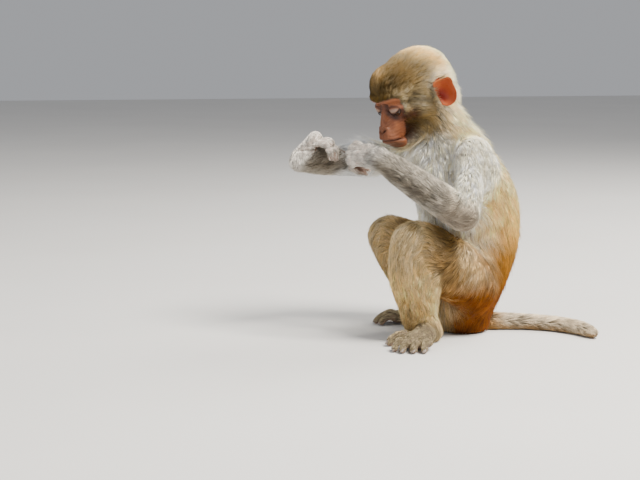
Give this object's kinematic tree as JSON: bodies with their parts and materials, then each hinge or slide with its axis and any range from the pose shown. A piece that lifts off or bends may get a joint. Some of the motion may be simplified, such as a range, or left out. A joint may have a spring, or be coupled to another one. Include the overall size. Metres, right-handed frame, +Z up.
{
  "type": "macaque monkey model",
  "caption": "Still life-size model of a young macaque sitting on its rump with both hands raised to groom.",
  "frame": {"origin": "middle of the flat that the rump sits on, at floor level", "axes": "the trunk faces -Y, the animal's own left is +X, up is +Z"},
  "size_m": [0.2549, 0.3428, 0.3332],
  "materials": {
    "back": "golden-olive fur",
    "pale": "pale grey-cream fur",
    "limb": "buff fur",
    "bare": "bare orange-pink skin",
    "hand": "grey-tan skin with short hair",
    "eye": "polished dark brown"
  },
  "bodies": {
    "root": {"trunk": "back", "neck": "back", "tail": "limb", "head": "pale", "ear_left": "bare", "ear_right": "bare", "eye_left": "eye", "eye_right": "eye", "thigh_left": "limb", "shin_left": "limb", "foot_left": "hand", "upper_arm_left": "pale", "forearm_left": "pale", "hand_left": "hand", "thigh_right": "limb", "shin_right": "limb", "foot_right": "hand", "upper_arm_right": "pale", "forearm_right": "pale", "hand_right": "hand"}
  },
  "joints": []
}
